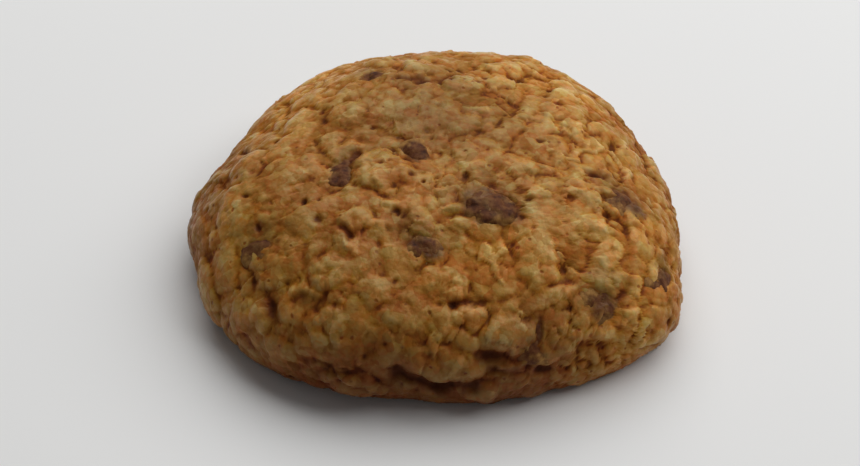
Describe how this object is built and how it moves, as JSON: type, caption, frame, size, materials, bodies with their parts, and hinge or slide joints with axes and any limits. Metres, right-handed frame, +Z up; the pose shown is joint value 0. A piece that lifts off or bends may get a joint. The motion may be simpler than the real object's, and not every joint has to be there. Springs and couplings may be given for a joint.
{
  "type": "oatmeal chocolate chip cookie",
  "caption": "Thick domed drop cookie of craggy oatmeal dough with half-buried chocolate chips, resting on its flat underside.",
  "frame": {"origin": "centre of the underside's outline, on the surface that the cookie rests on", "axes": "+Z up, +X to the right in the picture, +Y away from its camera"},
  "size_m": [0.0801, 0.077, 0.0247],
  "materials": {
    "crust": null,
    "chocolate": null
  },
  "bodies": {
    "root": {"dough": "crust", "chip_crown": "chocolate", "chip_large": "chocolate", "chip_front": "chocolate", "chip_right": "chocolate", "chip_lower_right": "chocolate", "chip_right_edge": "chocolate", "chip_lower_front": "chocolate", "chip_far": "chocolate", "chip_left": "chocolate", "chip_upper_left": "chocolate"}
  },
  "joints": []
}
